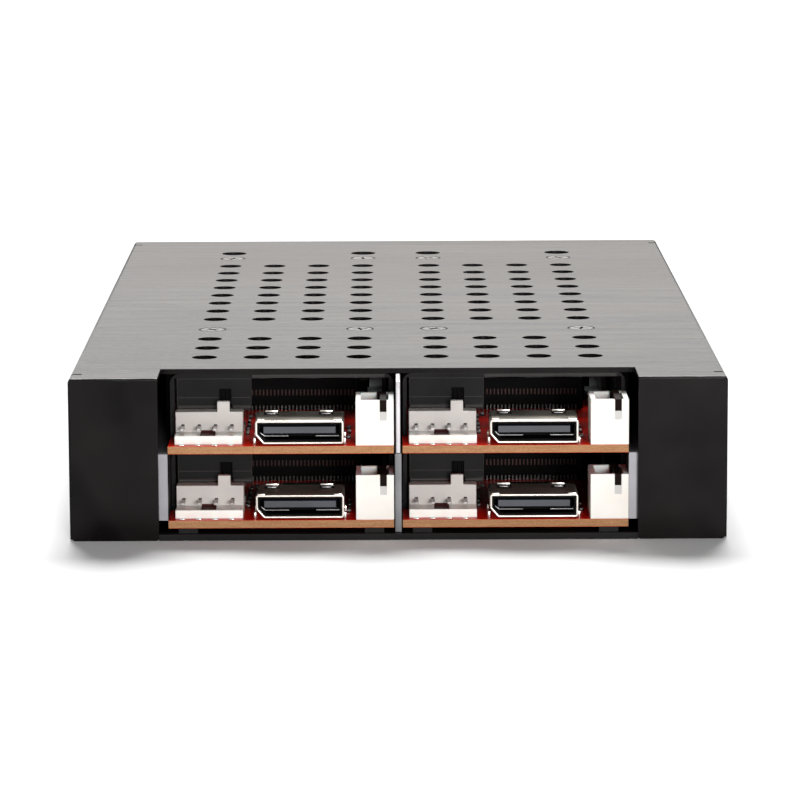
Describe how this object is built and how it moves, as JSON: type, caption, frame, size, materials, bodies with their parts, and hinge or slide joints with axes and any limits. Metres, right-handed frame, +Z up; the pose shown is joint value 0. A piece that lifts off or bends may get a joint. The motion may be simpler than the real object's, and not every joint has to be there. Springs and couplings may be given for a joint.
{
  "type": "hot swap drive cage",
  "caption": "Flat metal cage for a drive bay, with slide-out drive trays at the front and power, data and fan connectors behind.",
  "frame": {"origin": "centre of the whole object's footprint, on the underside of the base plate", "axes": "+Z up; +Y towards the front bezels, the way the trays slide out; -Y towards the rear connectors; +X to the right as seen from the rear"},
  "size_m": [0.1016, 0.1752, 0.0254],
  "materials": {
    "cover": "brushed, dark anodised",
    "black_metal": "satin black",
    "bare_metal": "bare, satin",
    "tray_metal": "satin",
    "screw_steel": "plated",
    "contact": "plated",
    "board": "solder mask",
    "connector_white": "smooth",
    "connector_dark": "smooth",
    "connector_shell": "plated sheet",
    "bezel_plastic": "fine grain",
    "lever_plastic": "fine grain",
    "button_plastic": "fine grain",
    "clip_plastic": "smooth"
  },
  "bodies": {
    "cage": {"top_cover": "cover", "base_plate": "black_metal", "lower_rail_left": "bare_metal", "lower_rail_right": "bare_metal", "upper_rail_left": "black_metal", "upper_rail_right": "black_metal", "lower_divider": "bare_metal", "upper_divider": "bare_metal", "mid_shelf": "black_metal", "front_frame": "black_metal", "cover_screws": "screw_steel", "base_screws": "screw_steel", "board_screws": "screw_steel", "header_pins": "contact", "data_inserts": "connector_dark", "fan_headers": "connector_white", "rear_board_lower_left": "board", "power_header_lower_left": "connector_white", "data_shell_lower_left": "connector_shell", "bay_connector_lower_left": "connector_dark", "bay_sleeve_lower_left": "black_metal", "rear_board_lower_right": "board", "power_header_lower_right": "connector_white", "data_shell_lower_right": "connector_shell", "bay_connector_lower_right": "connector_dark", "bay_sleeve_lower_right": "black_metal", "rear_board_upper_left": "board", "power_header_upper_left": "connector_white", "data_shell_upper_left": "connector_shell", "bay_connector_upper_left": "connector_dark", "bay_sleeve_upper_left": "black_metal", "rear_board_upper_right": "board", "power_header_upper_right": "connector_white", "data_shell_upper_right": "connector_shell", "bay_connector_upper_right": "connector_dark", "bay_sleeve_upper_right": "black_metal"},
    "tray_lower_left": {"tray_frame_lower_left": "tray_metal", "tray_bezel_lower_left": "bezel_plastic", "drive_board_lower_left": "board"},
    "lever_lower_left": {"tray_lever_lower_left": "lever_plastic"},
    "button_lower_left": {"release_button_lower_left": "button_plastic"},
    "clip_lower_left": {"drive_clip_lower_left": "clip_plastic"},
    "tray_lower_right": {"tray_frame_lower_right": "tray_metal", "tray_bezel_lower_right": "bezel_plastic", "drive_board_lower_right": "board"},
    "lever_lower_right": {"tray_lever_lower_right": "lever_plastic"},
    "button_lower_right": {"release_button_lower_right": "button_plastic"},
    "clip_lower_right": {"drive_clip_lower_right": "clip_plastic"},
    "tray_upper_left": {"tray_frame_upper_left": "tray_metal", "tray_bezel_upper_left": "bezel_plastic", "drive_board_upper_left": "board"},
    "lever_upper_left": {"tray_lever_upper_left": "lever_plastic"},
    "button_upper_left": {"release_button_upper_left": "button_plastic"},
    "clip_upper_left": {"drive_clip_upper_left": "clip_plastic"},
    "tray_upper_right": {"tray_frame_upper_right": "tray_metal", "tray_bezel_upper_right": "bezel_plastic", "drive_board_upper_right": "board"},
    "lever_upper_right": {"tray_lever_upper_right": "lever_plastic"},
    "button_upper_right": {"release_button_upper_right": "button_plastic"},
    "clip_upper_right": {"drive_clip_upper_right": "clip_plastic"}
  },
  "joints": [
    {"name": "tray_slide_lower_left", "type": "slide", "parent": "cage", "child": "tray_lower_left", "axis": [0, 1, 0], "range_m": [0, 0.135]},
    {"name": "lever_hinge_lower_left", "type": "hinge", "parent": "tray_lower_left", "child": "lever_lower_left", "pos_m": [-0.03232, 0.0855, 0.0067], "axis": [0, 0, 1], "range_deg": [0, 75]},
    {"name": "button_press_lower_left", "type": "slide", "parent": "tray_lower_left", "child": "button_lower_left", "axis": [0, -1, 0], "range_m": [0, 0.0012], "stiffness_N_per_m": 400},
    {"name": "clip_slide_lower_left", "type": "slide", "parent": "tray_lower_left", "child": "clip_lower_left", "axis": [0, -1, 0], "range_m": [0, 0.03]},
    {"name": "tray_slide_lower_right", "type": "slide", "parent": "cage", "child": "tray_lower_right", "axis": [0, 1, 0], "range_m": [0, 0.135]},
    {"name": "lever_hinge_lower_right", "type": "hinge", "parent": "tray_lower_right", "child": "lever_lower_right", "pos_m": [0.00392, 0.0855, 0.0067], "axis": [0, 0, 1], "range_deg": [0, 75]},
    {"name": "button_press_lower_right", "type": "slide", "parent": "tray_lower_right", "child": "button_lower_right", "axis": [0, -1, 0], "range_m": [0, 0.0012], "stiffness_N_per_m": 400},
    {"name": "clip_slide_lower_right", "type": "slide", "parent": "tray_lower_right", "child": "clip_lower_right", "axis": [0, -1, 0], "range_m": [0, 0.03]},
    {"name": "tray_slide_upper_left", "type": "slide", "parent": "cage", "child": "tray_upper_left", "axis": [0, 1, 0], "range_m": [0, 0.135]},
    {"name": "lever_hinge_upper_left", "type": "hinge", "parent": "tray_upper_left", "child": "lever_upper_left", "pos_m": [-0.03232, 0.0855, 0.01835], "axis": [0, 0, 1], "range_deg": [0, 75]},
    {"name": "button_press_upper_left", "type": "slide", "parent": "tray_upper_left", "child": "button_upper_left", "axis": [0, -1, 0], "range_m": [0, 0.0012], "stiffness_N_per_m": 400},
    {"name": "clip_slide_upper_left", "type": "slide", "parent": "tray_upper_left", "child": "clip_upper_left", "axis": [0, -1, 0], "range_m": [0, 0.03]},
    {"name": "tray_slide_upper_right", "type": "slide", "parent": "cage", "child": "tray_upper_right", "axis": [0, 1, 0], "range_m": [0, 0.135]},
    {"name": "lever_hinge_upper_right", "type": "hinge", "parent": "tray_upper_right", "child": "lever_upper_right", "pos_m": [0.00392, 0.0855, 0.01835], "axis": [0, 0, 1], "range_deg": [0, 75]},
    {"name": "button_press_upper_right", "type": "slide", "parent": "tray_upper_right", "child": "button_upper_right", "axis": [0, -1, 0], "range_m": [0, 0.0012], "stiffness_N_per_m": 400},
    {"name": "clip_slide_upper_right", "type": "slide", "parent": "tray_upper_right", "child": "clip_upper_right", "axis": [0, -1, 0], "range_m": [0, 0.03]}
  ]
}
